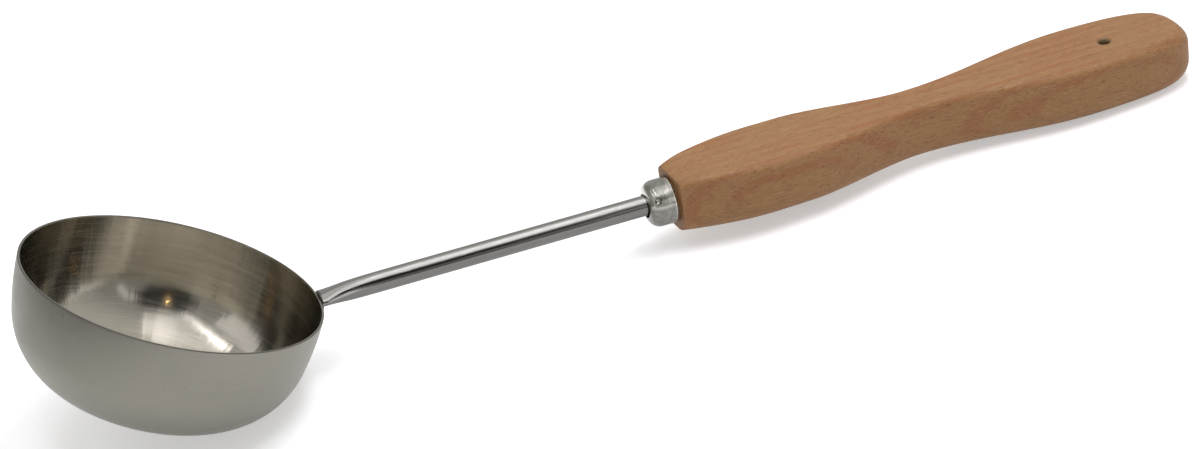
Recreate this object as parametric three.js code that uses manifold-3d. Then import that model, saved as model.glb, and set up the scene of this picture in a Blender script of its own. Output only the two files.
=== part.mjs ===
// Sauna ladle: a drawn steel bowl on a rod stem, a cup ferrule and a waisted beech handle.
// Millimetres, +Z up. The ladle lies at rest on a table: the bowl's belly and the handle's rear end
// touch Z = 0, +X runs from the bowl towards the handle, and the origin is below the middle of its box.
import * as THREE from "three";
import { mergeVertices } from "three/addons/utils/BufferGeometryUtils.js";
import Module from "manifold-3d";

// Clearance between neighbouring pieces
const FIT_GAP = 0.3;

// Bowl: one drawn sheet, measured on its outside
const BOWL_RIM_RADIUS = 50;
const BOWL_DEPTH = 41.9;
const BOWL_SHEET = 0.8;
const BOWL_WALL_ARC = 95; // the wall stands upright at the rim and bows inwards below it
const BOWL_KNUCKLE_ARC = 27.3; // the corner between wall and base
const BOWL_BASE_ARC = 250; // the base is almost flat

// Stem: one round rod, pressed flat where it meets the bowl
const STEM_DIAMETER = 7;
const STEM_RISE = 23.65; // degrees above the plane of the rim
const STEM_BELOW_RIM = 0.94; // where the stem's axis meets the rim's radius
const STEM_LENGTH = 116.2; // from the bowl to the ferrule's front
const TANG_LENGTH = 70; // hidden inside the handle
const TONGUE_WIDTH = 8.8;
const TONGUE_THICKNESS = 3;
const TONGUE_DROP = 0.15; // the tongue's middle lies this far below the stem's axis
const TONGUE_LAND = 2.2; // even stretch at the bowl
const TONGUE_FLARE = 4; // stretch over which the spread sides draw in
const TONGUE_RUNOUT = 22; // stretch over which the flats run out into the round rod
const TONGUE_PRESS_POWER = 1.3; // how quickly the pressed flats fall away towards the bowl

// Weld bead: a fillet below the tongue
const WELD_LEG = 1.8;
const WELD_OVERHANG = 0.8; // past each side of the tongue

// Ferrule: a drawn cup with a loose hole for the stem
const FERRULE_DIAMETER = 16.6;
const FERRULE_LENGTH = 8.9;
const FERRULE_SHEET = 1;
const FERRULE_SHOULDER = 4;
const FERRULE_HOLE = 8.8;
const FERRULE_DROP = 0.25; // its axis lies this far below the stem's

// Handle: beech, hourglass in plan, distances from its front face along its own middle line
const HANDLE_LENGTH = 197.2;
const HANDLE_FRONT_WIDTH = 18.2;
const HANDLE_FRONT_FLARE = 0.345; // widening of each side per millimetre at the front
const FRONT_LOBE_AT = 46.4;
const FRONT_LOBE_WIDTH = 31.4;
const WAIST_AT = 91;
const WAIST_WIDTH = 16;
const REAR_LOBE_FROM_END = 40.5;
const REAR_LOBE_WIDTH = 34.1;
const HANDLE_FRONT_THICKNESS = 21.8;
const HANDLE_REAR_THICKNESS = 20.9;
const UPPER_EDGE = 2.8; // radius of the rounded long edges of the upper face
const LOWER_EDGE = 7.2; // and of the lower face
const UPPER_END_EDGE = 6.1; // radius that the upper edge grows to at the rear end
const LOWER_END_EDGE = 9; // and the lower edge
const FRONT_EASE_LENGTH = 10; // stretch over which the upper face falls away towards the front
const FRONT_EASE_DROP = 1.4; // how far it has fallen at the front face
const HANDLE_TILT = 1.25; // degrees by which the handle rises from the stem's line
const HANDLE_DROP = 0.28; // its middle below the stem's axis at its front face
const HANG_HOLE_DIAMETER = 3.6;
const HANG_HOLE_MOUTH = 5;
const HANG_HOLE_FROM_END = 31;
const HANG_HOLE_OFFSET = 1.5; // drilled by hand, this far to the right of the middle

// Fullness of the plan's curves, as a share of each curve's length
const FRONT_SWEEP = 0.52;
const FRONT_LOBE_SWEEP = 0.29;
const WAIST_FRONT_SWEEP = 0.28;
const WAIST_REAR_SWEEP = 0.386;
const END_SWEEP = 0.8;
const END_BLUNTNESS = 0.84;

// A rounded edge takes at most this share of the wood across it.
const EDGE_SHARE = 0.46;
// The plan starts ahead of the front face, where it is cut off square, so far that every ring of the
// rounded edges reaches past that face, with this much to spare.
const LEAD_SHARE = 1.5;
// How full the weld's surface is, as a share of its leg.
const WELD_FULLNESS = 0.5;

// Facets
const BOWL_SEGMENTS = 48;
const ROUND_SEGMENTS = 24;
const ARC_STEPS = 6;
const BASE_STEPS = 2;
const WALL_STEPS = 3;
const PLAN_STEPS = 10;
const EDGE_STEPS = 4;
const RUNOUT_STEPS = 12;

// The ladle's tip at rest is found to this many radians.
const TIP_PRECISION = 1e-9;

const STEEL = { color: 0x9b9892, metalness: 1, roughness: 0.32 };
const POLISHED_STEEL = { color: 0xa9a6a1, metalness: 1, roughness: 0.2 };
const WELD_METAL = { color: 0x6f6c66, metalness: 1, roughness: 0.5 };
const DULL_METAL = { color: 0x8d8c84, metalness: 1, roughness: 0.42 };
const BEECH = { color: 0xa97b54, metalness: 0, roughness: 0.6 };

const radians = THREE.MathUtils.degToRad;
const wasm = await Module();
wasm.setup();

// A closed geometry as a solid for joins and cuts.
function solidOf(geometry) {
  const bare = geometry.index ? geometry.toNonIndexed() : geometry.clone();
  bare.deleteAttribute("normal");
  bare.deleteAttribute("uv");
  const merged = mergeVertices(bare);
  const vertProperties = new Float32Array(merged.attributes.position.array);
  const triVerts = new Uint32Array(merged.index.array);
  return new wasm.Manifold(new wasm.Mesh({ numProp: 3, vertProperties, triVerts }));
}

function geometryOf(solid) {
  const { vertProperties, triVerts } = solid.getMesh();
  const geometry = new THREE.BufferGeometry();
  geometry.setAttribute("position", new THREE.BufferAttribute(vertProperties, 3));
  geometry.setIndex(new THREE.BufferAttribute(triVerts, 1));
  geometry.computeVertexNormals();
  return geometry;
}

function piece(name, geometry, finish) {
  const mesh = new THREE.Mesh(geometry, new THREE.MeshStandardMaterial(finish));
  mesh.name = name;
  return mesh;
}

// Points along a circular arc from one angle to another.
function arc(centre, radius, from, to, steps = ARC_STEPS) {
  const points = [];
  for (let i = 0; i <= steps; i++) {
    const angle = THREE.MathUtils.lerp(from, to, i / steps);
    const point = new THREE.Vector2(Math.cos(angle), Math.sin(angle));
    points.push(point.multiplyScalar(radius).add(centre));
  }
  return points;
}

// A profile of (radius, height) points turned round +Z.
function turned(points, segments = ROUND_SEGMENTS) {
  return new THREE.LatheGeometry(points, segments).rotateX(Math.PI / 2);
}

// A profile of (radius, distance) points turned round +X.
function turnedAlongX(points, segments = ROUND_SEGMENTS) {
  return new THREE.LatheGeometry(points, segments).rotateZ(-Math.PI / 2);
}

// The bowl's outside profile, grown by an offset, from the base's middle up to the rim.
function bowlProfile(offset) {
  const wallCentre = new THREE.Vector2(BOWL_RIM_RADIUS - BOWL_WALL_ARC, 0);
  const baseCentre = new THREE.Vector2(0, BOWL_BASE_ARC - BOWL_DEPTH);
  // The knuckle's arc lies inside both others and touches them.
  const toWall = BOWL_WALL_ARC - BOWL_KNUCKLE_ARC;
  const toBase = BOWL_BASE_ARC - BOWL_KNUCKLE_ARC;
  const span = baseCentre.clone().sub(wallCentre);
  const distance = span.length();
  const along = (toWall ** 2 - toBase ** 2 + distance ** 2) / (2 * distance);
  const across = Math.sqrt(toWall ** 2 - along ** 2);
  const unit = span.divideScalar(distance);
  const knuckleCentre = wallCentre.clone().addScaledVector(unit, along);
  knuckleCentre.addScaledVector(new THREE.Vector2(unit.y, -unit.x), across);
  const wallAngle = knuckleCentre.clone().sub(wallCentre).angle() - 2 * Math.PI;
  const baseAngle = knuckleCentre.clone().sub(baseCentre).angle() - 2 * Math.PI;
  return [
    ...arc(baseCentre, BOWL_BASE_ARC + offset, -Math.PI / 2, baseAngle, BASE_STEPS),
    ...arc(knuckleCentre, BOWL_KNUCKLE_ARC + offset, baseAngle, wallAngle).slice(1),
    ...arc(wallCentre, BOWL_WALL_ARC + offset, wallAngle, 0, WALL_STEPS).slice(1),
  ];
}

function bowlGeometry() {
  const outside = bowlProfile(0);
  const inside = bowlProfile(-BOWL_SHEET).reverse();
  return turned([...outside, ...inside], BOWL_SEGMENTS);
}

// Everything within the bowl's outside, and above its mouth, grown by the clearance.
function bowlEnvelope() {
  const outside = bowlProfile(FIT_GAP);
  const rim = outside[outside.length - 1];
  const above = STEM_DIAMETER;
  const lid = [new THREE.Vector2(rim.x, above), new THREE.Vector2(0, above)];
  return turned([...outside, ...lid], BOWL_SEGMENTS);
}

// Half the thickness and width of the pressed end along the stem, and how far it lies below the axis.
function tongueShape(x) {
  const radius = STEM_DIAMETER / 2;
  const pastLand = Math.max(x - TONGUE_LAND, 0);
  const pressed = Math.max(1 - pastLand / TONGUE_RUNOUT, 0) ** TONGUE_PRESS_POWER;
  const spread = Math.max(1 - pastLand / TONGUE_FLARE, 0) ** 2;
  return {
    halfThickness: THREE.MathUtils.lerp(radius, TONGUE_THICKNESS / 2, pressed),
    halfWidth: THREE.MathUtils.lerp(radius, TONGUE_WIDTH / 2, spread),
    drop: TONGUE_DROP * pressed,
  };
}

// The rod along +X, from inside the bowl to the tang's end, with its bowl end pressed flat and cut
// to the bowl's wall.
function stemGeometry(toStem) {
  const radius = STEM_DIAMETER / 2;
  const start = -STEM_DIAMETER;
  const end = STEM_LENGTH + FERRULE_LENGTH + FIT_GAP + TANG_LENGTH;
  const stations = [start];
  for (let i = 0; i <= RUNOUT_STEPS; i++) {
    stations.push(TONGUE_LAND + (TONGUE_RUNOUT * i) / RUNOUT_STEPS);
  }
  stations.push(end);
  const rod = turnedAlongX([
    new THREE.Vector2(0, start),
    ...stations.map((x) => new THREE.Vector2(radius, x)),
    new THREE.Vector2(0, end),
  ]);
  const position = rod.attributes.position;
  for (let i = 0; i < position.count; i++) {
    const { halfThickness, halfWidth, drop } = tongueShape(position.getX(i));
    const y = (position.getY(i) * halfWidth) / radius;
    const z = (position.getZ(i) * halfWidth) / radius;
    position.setY(i, y);
    position.setZ(i, THREE.MathUtils.clamp(z, -halfThickness, halfThickness) - drop);
  }
  const envelope = bowlEnvelope().applyMatrix4(toStem.clone().invert());
  return geometryOf(solidOf(rod).subtract(solidOf(envelope)));
}

// A fillet in the corner between the bowl's wall and the underside of the tongue, across the tongue.
function weldGeometry() {
  const rise = radians(STEM_RISE);
  const underside = TONGUE_DROP + TONGUE_THICKNESS / 2 + FIT_GAP;
  const corner = new THREE.Vector2(BOWL_RIM_RADIUS + FIT_GAP, -STEM_BELOW_RIM);
  corner.y += FIT_GAP * Math.tan(rise) - underside / Math.cos(rise);
  const outer = new THREE.Vector2(Math.cos(rise), Math.sin(rise)).multiplyScalar(WELD_LEG).add(corner);
  const fillet = new THREE.Shape().moveTo(corner.x, corner.y);
  fillet.lineTo(corner.x, corner.y - WELD_LEG);
  const crown = outer.clone().add(new THREE.Vector2(corner.x, corner.y - WELD_LEG)).sub(corner);
  crown.lerp(corner, WELD_FULLNESS);
  fillet.quadraticCurveTo(crown.x, crown.y, outer.x, outer.y);
  fillet.closePath();
  const width = TONGUE_WIDTH + 2 * WELD_OVERHANG;
  const across = { depth: width, bevelEnabled: false, curveSegments: ARC_STEPS };
  const bead = new THREE.ExtrudeGeometry(fillet, across);
  return bead.translate(0, 0, -width / 2).rotateX(Math.PI / 2);
}

// The cup along +X, open to the rear, with its front face at X = 0.
function ferruleGeometry() {
  const radius = FERRULE_DIAMETER / 2;
  const shoulder = new THREE.Vector2(radius - FERRULE_SHOULDER, FERRULE_SHOULDER);
  const hole = FERRULE_HOLE / 2;
  const front = -Math.PI / 2;
  const profile = [
    new THREE.Vector2(hole, 0),
    ...arc(shoulder, FERRULE_SHOULDER, front, 0),
    new THREE.Vector2(radius, FERRULE_LENGTH),
    new THREE.Vector2(radius - FERRULE_SHEET, FERRULE_LENGTH),
    ...arc(shoulder, FERRULE_SHOULDER - FERRULE_SHEET, 0, front),
    new THREE.Vector2(hole, FERRULE_SHEET),
    new THREE.Vector2(hole, 0),
  ];
  return turnedAlongX(profile);
}

// The right half of the handle's plan, from a little ahead of its front face to the rear end.
function handleSide(lead) {
  const front = HANDLE_FRONT_WIDTH / 2;
  const lobe = FRONT_LOBE_WIDTH / 2;
  const waist = WAIST_WIDTH / 2;
  const rear = REAR_LOBE_WIDTH / 2;
  const rearAt = HANDLE_LENGTH - REAR_LOBE_FROM_END;
  const startReach = FRONT_SWEEP * FRONT_LOBE_AT;
  const startWidth = front + HANDLE_FRONT_FLARE * startReach;
  const lobeFrom = FRONT_LOBE_AT - FRONT_LOBE_SWEEP * FRONT_LOBE_AT;
  const waistReach = WAIST_FRONT_SWEEP * (WAIST_AT - FRONT_LOBE_AT);
  const rearReach = WAIST_REAR_SWEEP * (rearAt - WAIST_AT);
  const endReach = rearAt + END_SWEEP * REAR_LOBE_FROM_END;
  const endWidth = END_BLUNTNESS * rear;
  const side = new THREE.Path().moveTo(-lead, HANDLE_FRONT_FLARE * lead - front).lineTo(0, -front);
  side.bezierCurveTo(startReach, -startWidth, lobeFrom, -lobe, FRONT_LOBE_AT, -lobe);
  side.bezierCurveTo(FRONT_LOBE_AT + waistReach, -lobe, WAIST_AT - waistReach, -waist, WAIST_AT, -waist);
  side.bezierCurveTo(WAIST_AT + rearReach, -waist, rearAt - rearReach, -rear, rearAt, -rear);
  side.bezierCurveTo(endReach, -rear, HANDLE_LENGTH, -endWidth, HANDLE_LENGTH, 0);
  return side;
}

// Points round the whole plan, each with its outward direction.
function handlePlan(lead) {
  const [leadLine, ...curves] = handleSide(lead).curves;
  const right = [{ at: leadLine.getPoint(0), along: leadLine.getTangent(0) }];
  for (const curve of curves) {
    for (let i = 0; i < PLAN_STEPS; i++) {
      right.push({ at: curve.getPoint(i / PLAN_STEPS), along: curve.getTangent(i / PLAN_STEPS) });
    }
  }
  const side = right.map(({ at, along }) => ({ at, out: new THREE.Vector2(along.y, -along.x) }));
  const tip = { at: new THREE.Vector2(HANDLE_LENGTH, 0), out: new THREE.Vector2(1, 0) };
  const mirrored = side.map(({ at, out }) => ({
    at: new THREE.Vector2(at.x, -at.y),
    out: new THREE.Vector2(out.x, -out.y),
  }));
  return [...side, tip, ...mirrored.reverse()];
}

// Thickness of the evenly tapering handle at a distance from its front face.
function handleThickness(x) {
  return THREE.MathUtils.lerp(HANDLE_FRONT_THICKNESS, HANDLE_REAR_THICKNESS, x / HANDLE_LENGTH);
}

// Radius of a rounded edge at a distance from the front face: it grows towards the rear end.
function edgeRadius(x, along, atEnd) {
  const rearAt = HANDLE_LENGTH - REAR_LOBE_FROM_END;
  const share = THREE.MathUtils.clamp((x - rearAt) / REAR_LOBE_FROM_END, 0, 1) ** 2;
  const most = EDGE_SHARE * Math.min(WAIST_WIDTH, HANDLE_REAR_THICKNESS);
  return THREE.MathUtils.lerp(Math.min(along, most), Math.min(atEnd, most), share);
}

// One ring round the body, at an angle round its upper (1) or lower (-1) edge.
function handleRing(plan, angle, face, along, atEnd) {
  return plan.map(({ at, out }) => {
    const radius = edgeRadius(at.x, along, atEnd);
    const point = at.clone().addScaledVector(out, radius * (Math.cos(angle) - 1));
    const height = handleThickness(point.x) / 2 - radius * (1 - Math.sin(angle));
    return new THREE.Vector3(point.x, point.y, face * height);
  });
}

// Rings of points, downwards and seen anticlockwise from above, joined and closed by flat ends.
function lofted(rings) {
  const count = rings[0].length;
  const index = [];
  for (let ring = 0; ring + 1 < rings.length; ring++) {
    for (let i = 0; i < count; i++) {
      const next = (i + 1) % count;
      const [a, b] = [ring * count + i, ring * count + next];
      index.push(a, a + count, b, b, a + count, b + count);
    }
  }
  const flat = (ring) => ring.map(({ x, y }) => new THREE.Vector2(x, y));
  const last = (rings.length - 1) * count;
  for (const [a, b, c] of THREE.ShapeUtils.triangulateShape(flat(rings[0]), [])) {
    index.push(a, b, c);
  }
  for (const [a, b, c] of THREE.ShapeUtils.triangulateShape(flat(rings[rings.length - 1]), [])) {
    index.push(last + a, last + c, last + b);
  }
  const geometry = new THREE.BufferGeometry().setFromPoints(rings.flat());
  return geometry.setIndex(index);
}

// The wooden body with rounded edges and a flat front face at X = 0.
function handleBody() {
  const lead = LEAD_SHARE * HANDLE_FRONT_FLARE * edgeRadius(0, LOWER_EDGE, LOWER_END_EDGE);
  const plan = handlePlan(lead);
  const rings = [];
  for (let i = EDGE_STEPS; i >= 0; i--) {
    const angle = (Math.PI / 2) * (i / EDGE_STEPS);
    rings.push(handleRing(plan, angle, 1, UPPER_EDGE, UPPER_END_EDGE));
  }
  for (let i = 0; i <= EDGE_STEPS; i++) {
    const angle = (Math.PI / 2) * (i / EDGE_STEPS);
    rings.push(handleRing(plan, angle, -1, LOWER_EDGE, LOWER_END_EDGE));
  }
  const ahead = new THREE.BoxGeometry(2 * lead, 2 * HANDLE_FRONT_WIDTH, 2 * HANDLE_FRONT_THICKNESS);
  return solidOf(lofted(rings)).subtract(solidOf(ahead.translate(-lead, 0, 0)));
}

// A cutter that rounds the upper face down towards the front.
function frontEaseCutter() {
  const top = HANDLE_FRONT_THICKNESS / 2;
  const radius = (FRONT_EASE_LENGTH ** 2 + FRONT_EASE_DROP ** 2) / (2 * FRONT_EASE_DROP);
  const centre = new THREE.Vector2(FRONT_EASE_LENGTH, top - radius);
  const sweep = Math.asin(FRONT_EASE_LENGTH / radius);
  const outline = new THREE.Shape([
    ...arc(centre, radius, Math.PI / 2, Math.PI / 2 + sweep),
    new THREE.Vector2(-FRONT_EASE_LENGTH, top - FRONT_EASE_DROP),
    new THREE.Vector2(-FRONT_EASE_LENGTH, HANDLE_FRONT_THICKNESS),
    new THREE.Vector2(FRONT_EASE_LENGTH, HANDLE_FRONT_THICKNESS),
  ]);
  const width = 2 * FRONT_LOBE_WIDTH;
  const cutter = new THREE.ExtrudeGeometry(outline, { depth: width, bevelEnabled: false });
  return cutter.translate(0, 0, -width / 2).rotateX(Math.PI / 2);
}

// A cutter for the hanging hole, countersunk at both faces, along Z.
function hangHoleCutter() {
  const hole = HANG_HOLE_DIAMETER / 2;
  const mouth = HANG_HOLE_MOUTH / 2;
  const at = HANDLE_LENGTH - HANG_HOLE_FROM_END;
  const face = handleThickness(at) / 2;
  const inner = face - (mouth - hole);
  const past = face + HANG_HOLE_DIAMETER;
  const wide = mouth + HANG_HOLE_DIAMETER;
  const profile = [
    new THREE.Vector2(0, -past),
    new THREE.Vector2(wide, -past),
    new THREE.Vector2(hole, -inner),
    new THREE.Vector2(hole, inner),
    new THREE.Vector2(wide, past),
    new THREE.Vector2(0, past),
  ];
  return turned(profile).translate(at, -HANG_HOLE_OFFSET, 0);
}

// The body with its tenon inside the ferrule, a blind bore for the tang and the hanging hole.
// The tenon follows the ferrule's axis and the bore the stem's, so both come in by fromStem.
function handleGeometry(fromStem) {
  const tenonRadius = FERRULE_DIAMETER / 2 - FERRULE_SHEET - FIT_GAP;
  const face = STEM_LENGTH + FERRULE_LENGTH + FIT_GAP;
  const tenonFront = STEM_LENGTH + FERRULE_SHOULDER + FIT_GAP;
  const root = face + TANG_LENGTH / 2;
  const tenon = turnedAlongX([
    new THREE.Vector2(0, tenonFront),
    new THREE.Vector2(tenonRadius, tenonFront),
    new THREE.Vector2(tenonRadius, root),
    new THREE.Vector2(0, root),
  ]);
  tenon.translate(0, 0, -FERRULE_DROP).applyMatrix4(fromStem);
  const boreRadius = STEM_DIAMETER / 2 + FIT_GAP;
  const boreEnd = face + TANG_LENGTH + FIT_GAP;
  const bore = turnedAlongX([
    new THREE.Vector2(0, STEM_LENGTH),
    new THREE.Vector2(boreRadius, STEM_LENGTH),
    new THREE.Vector2(boreRadius, boreEnd),
    new THREE.Vector2(0, boreEnd),
  ]);
  bore.applyMatrix4(fromStem);
  const eased = handleBody().subtract(solidOf(frontEaseCutter()));
  const whole = eased.add(solidOf(tenon)).subtract(solidOf(bore));
  return geometryOf(whole.subtract(solidOf(hangHoleCutter())));
}

// The ladle in the bowl's own frame: rim in the plane Z = 0, handle towards +X.
const ladle = new THREE.Group();

const bowl = piece("bowl", bowlGeometry(), STEEL);
ladle.add(bowl);
ladle.add(piece("weld_bead", weldGeometry(), WELD_METAL));

// The stem's frame: its axis along +X from the rim's radius.
const shaft = new THREE.Group();
shaft.position.set(BOWL_RIM_RADIUS, 0, -STEM_BELOW_RIM);
shaft.rotation.y = -radians(STEM_RISE);
shaft.updateMatrix();
shaft.add(piece("stem", stemGeometry(shaft.matrix), POLISHED_STEEL));
ladle.add(shaft);

const ferrule = piece("ferrule", ferruleGeometry(), DULL_METAL);
ferrule.position.set(STEM_LENGTH, 0, -FERRULE_DROP);
shaft.add(ferrule);

const grip = new THREE.Group();
grip.position.set(STEM_LENGTH + FERRULE_LENGTH + FIT_GAP, 0, -HANDLE_DROP);
grip.rotation.y = -radians(HANDLE_TILT);
grip.updateMatrix();
const handle = piece("handle", handleGeometry(grip.matrix.clone().invert()), BEECH);
grip.add(handle);
shaft.add(grip);

// Height of a piece's lowest point when the ladle is tipped towards its handle.
function lowestWhenTipped(mesh, tip) {
  ladle.rotation.y = tip;
  ladle.updateMatrixWorld(true);
  return new THREE.Box3().setFromObject(mesh, true).min.z;
}

// Tip the ladle until bowl and handle reach equally low, as they do on a table.
let tooLittle = 0;
let tooMuch = Math.PI / 2;
while (tooMuch - tooLittle > TIP_PRECISION) {
  const tip = (tooLittle + tooMuch) / 2;
  if (lowestWhenTipped(bowl, tip) < lowestWhenTipped(handle, tip)) {
    tooLittle = tip;
  } else {
    tooMuch = tip;
  }
}
ladle.rotation.y = tooLittle;
ladle.updateMatrixWorld(true);

const box = new THREE.Box3().setFromObject(ladle, true);
const middle = box.getCenter(new THREE.Vector3());
ladle.position.set(-middle.x, -middle.y, -box.min.z);

const part = new THREE.Group();
part.add(ladle);

export default part;
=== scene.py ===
"""Sauna ladle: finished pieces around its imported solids, with a stage, lights and a camera.

Metres and radians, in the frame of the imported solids: +X from the bowl to the handle's rear end, +Z up
from the table. Each piece is built in a frame of its own, in which its finish is laid out too, and is
then put in its place.
"""

import math

import bmesh
import bpy
from bpy.props import FloatProperty, FloatVectorProperty, PointerProperty
from mathutils import Matrix, Vector, noise


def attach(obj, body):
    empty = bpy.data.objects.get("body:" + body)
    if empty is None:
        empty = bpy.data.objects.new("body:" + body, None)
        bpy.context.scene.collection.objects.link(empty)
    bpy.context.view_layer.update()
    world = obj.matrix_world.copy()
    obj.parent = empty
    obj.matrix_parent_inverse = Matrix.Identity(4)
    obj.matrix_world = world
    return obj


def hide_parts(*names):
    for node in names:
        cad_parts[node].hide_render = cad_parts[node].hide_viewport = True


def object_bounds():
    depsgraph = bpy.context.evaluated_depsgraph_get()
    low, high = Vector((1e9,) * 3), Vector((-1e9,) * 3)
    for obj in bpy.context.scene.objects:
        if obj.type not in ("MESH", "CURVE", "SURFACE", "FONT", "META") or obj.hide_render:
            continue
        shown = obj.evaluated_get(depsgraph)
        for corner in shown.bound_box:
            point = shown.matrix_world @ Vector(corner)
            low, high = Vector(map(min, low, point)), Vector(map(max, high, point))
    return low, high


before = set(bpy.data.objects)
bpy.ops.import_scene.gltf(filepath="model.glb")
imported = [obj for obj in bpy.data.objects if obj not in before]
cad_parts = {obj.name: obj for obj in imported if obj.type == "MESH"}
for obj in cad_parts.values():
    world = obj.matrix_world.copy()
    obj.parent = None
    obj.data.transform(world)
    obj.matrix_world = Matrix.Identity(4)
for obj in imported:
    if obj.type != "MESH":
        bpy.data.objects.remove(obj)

bl_info = {
    "name": "Sauna Ladle",
    "version": (1, 0, 0),
    "blender": (4, 5, 0),
    "location": "View3D > Sidebar > Ladle",
    "description": "Builds a steel and beech sauna ladle on its packed solids",
    "category": "Add Mesh",
}

CAD_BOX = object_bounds()
BODY = "root"
MM = 0.001
# Vertex attribute that holds a point's place in its piece's own frame, in millimetres
OWN_PLACE = "own_place"
# UV layer that runs round a turned piece in U and along its profile in V
ROUND_UV = "round"

# Steps of the curves and surfaces
BOWL_SEGMENTS = 224
ROUND_SEGMENTS = 96
ARC_STEPS = 20
SMALL_ARC_STEPS = 6
LAND_STEPS = 4
RUNOUT_STEPS = 44
ROD_STEPS = 12
WELD_STEPS = 40
OUTLINE_STEPS = 26
EDGE_STEPS = 10
ACROSS_STEPS = 6
FLOOR_STEPS = 4
MERGE_DISTANCE = 1e-6
# Edges that turn more than this stay sharp in the shading
SHARP_ANGLE = math.radians(38)


def length(name, description, millimetres):
    """A length that a user may set, given here in millimetres."""
    default = millimetres * MM
    return FloatProperty(
        name=name, description=description, default=default, min=0.0, precision=5, unit="LENGTH"
    )


def angle(name, description, degrees):
    """An angle that a user may set, given here in degrees."""
    default = math.radians(degrees)
    return FloatProperty(name=name, description=description, default=default, unit="ROTATION")


def factor(name, description, default):
    """A plain number that a user may set."""
    return FloatProperty(name=name, description=description, default=default, min=0.0, soft_max=4.0)


def colour(name, description, default):
    """A linear colour that a user may set."""
    return FloatVectorProperty(
        name=name, description=description, default=default, size=3, min=0.0, max=1.0, subtype="COLOR"
    )


class BowlSettings(bpy.types.PropertyGroup):
    """Sizes and finish of the drawn steel bowl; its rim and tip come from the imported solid."""

    depth: length("Depth", "Height of the bowl on its outside", 41.9)
    sheet: length("Sheet", "Thickness of the steel", 0.8)
    wall_arc: length("Wall arc", "Radius of the wall's bow", 95.0)
    knuckle_arc: length("Knuckle arc", "Radius of the corner between wall and base", 27.3)
    base_arc: length("Base arc", "Radius of the almost flat base", 250.0)
    rim_edge: length("Rim edge", "Radius that breaks the rim's cut edges", 0.22)
    outside: colour("Outside", "Satin steel outside", (0.228, 0.219, 0.188))
    inside: colour("Inside", "Brushed steel inside", (0.465, 0.436, 0.37))


class StemSettings(bpy.types.PropertyGroup):
    """Sizes and finish of the rod with its pressed tongue."""

    diameter: length("Diameter", "Diameter of the rod", 7.2)
    rise: angle("Rise", "Angle of the rod above the plane of the rim", 23.65)
    below_rim: length("Below rim", "Depth of the rod's axis below the rim, at the rim's radius", 0.94)
    length: length("Length", "Rod from the bowl to the ferrule", 116.2)
    tang: length("Tang", "Rod inside the handle", 70.0)
    tongue_width: length("Tongue width", "Width of the pressed end", 9.4)
    tongue_thickness: length("Tongue thickness", "Thickness of the pressed end", 3.4)
    tongue_drop: length("Tongue drop", "Middle of the tongue below the rod's axis", 0.15)
    tongue_land: length("Tongue land", "Even stretch at the bowl", 2.2)
    tongue_flare: length("Tongue flare", "Stretch over which the spread sides draw in", 9.0)
    tongue_runout: length("Tongue run-out", "Stretch over which the flats run out into the rod", 22.0)
    tongue_edge: length("Tongue edge", "Radius that breaks the edge of the end face", 0.25)
    press_power: factor("Press power", "How quickly the flats fall away towards the bowl", 2.6)
    squareness: factor("Squareness", "How square the pressed end is, where 2 is an oval", 2.6)
    steel: colour("Steel", "Polished steel of the rod", (0.52, 0.51, 0.49))
    # Painted shade: colour of the rod's underside and left, darker than the steel where less light falls
    painted_shade_steel: colour("Dull steel", "Steel of the rod's underside", (0.155, 0.15, 0.142))


class WeldSettings(bpy.types.PropertyGroup):
    """Sizes and finish of the weld below the tongue."""

    leg: length("Leg", "Length of the weld on the wall and on the tongue", 1.8)
    overhang: length("Overhang", "Length of the weld past each side of the tongue", 0.8)
    ripple: length("Ripple", "Distance from one ripple to the next", 1.3)
    metal: colour("Metal", "Dull weld metal", (0.2, 0.19, 0.175))


class FerruleSettings(bpy.types.PropertyGroup):
    """Sizes and finish of the cup between rod and wood."""

    diameter: length("Diameter", "Outside diameter", 16.6)
    length: length("Length", "Length along the rod", 8.9)
    sheet: length("Sheet", "Thickness of the metal", 1.0)
    shoulder: length("Shoulder", "Radius of the rounded front", 4.0)
    hole: length("Hole", "Diameter of the loose hole for the rod", 8.8)
    drop: length("Drop", "Axis of the cup below the rod's", 0.25)
    edge: length("Edge", "Radius that breaks the cut edges", 0.25)
    dent_at: length("Dent at", "Distance of the small dent from the front", 2.5)
    dent_turn: angle("Dent turn", "Turn of the small dent up from the right side", 32.0)
    metal: colour("Metal", "Scuffed metal", (0.315, 0.31, 0.278))


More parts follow.
